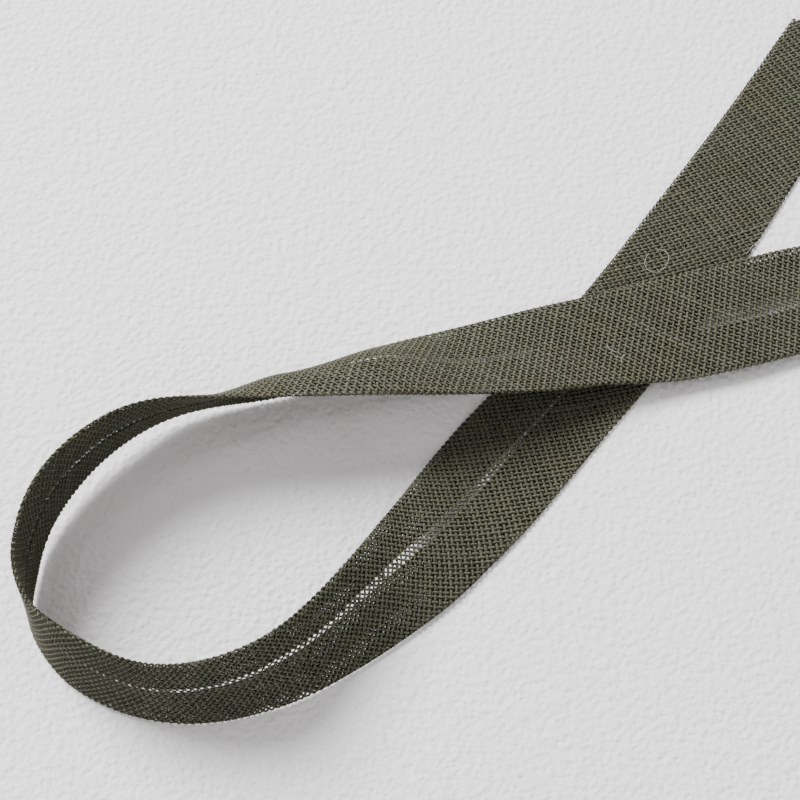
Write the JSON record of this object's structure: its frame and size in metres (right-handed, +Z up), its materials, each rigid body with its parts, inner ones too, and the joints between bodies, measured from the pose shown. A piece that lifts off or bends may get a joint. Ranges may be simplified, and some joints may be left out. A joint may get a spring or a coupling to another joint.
{
  "type": "cut length of single-fold bias binding laid in a loop",
  "caption": "Olive cotton bias binding, long edges pressed to the back, lying flat, then standing in a teardrop loop and crossing over itself.",
  "frame": {"origin": "middle of the laid tape's footprint, on the surface that it lies on", "axes": "+X along the longest extent, from the loop towards the two cut ends; +Z up, the shortest extent"},
  "size_m": [0.107, 0.09, 0.0143],
  "materials": {
    "olive_cotton": "matte open plain-weave cotton cut on the bias, pressed folds"
  },
  "bodies": {
    "root": {"bias_tape": "olive_cotton"}
  },
  "joints": []
}
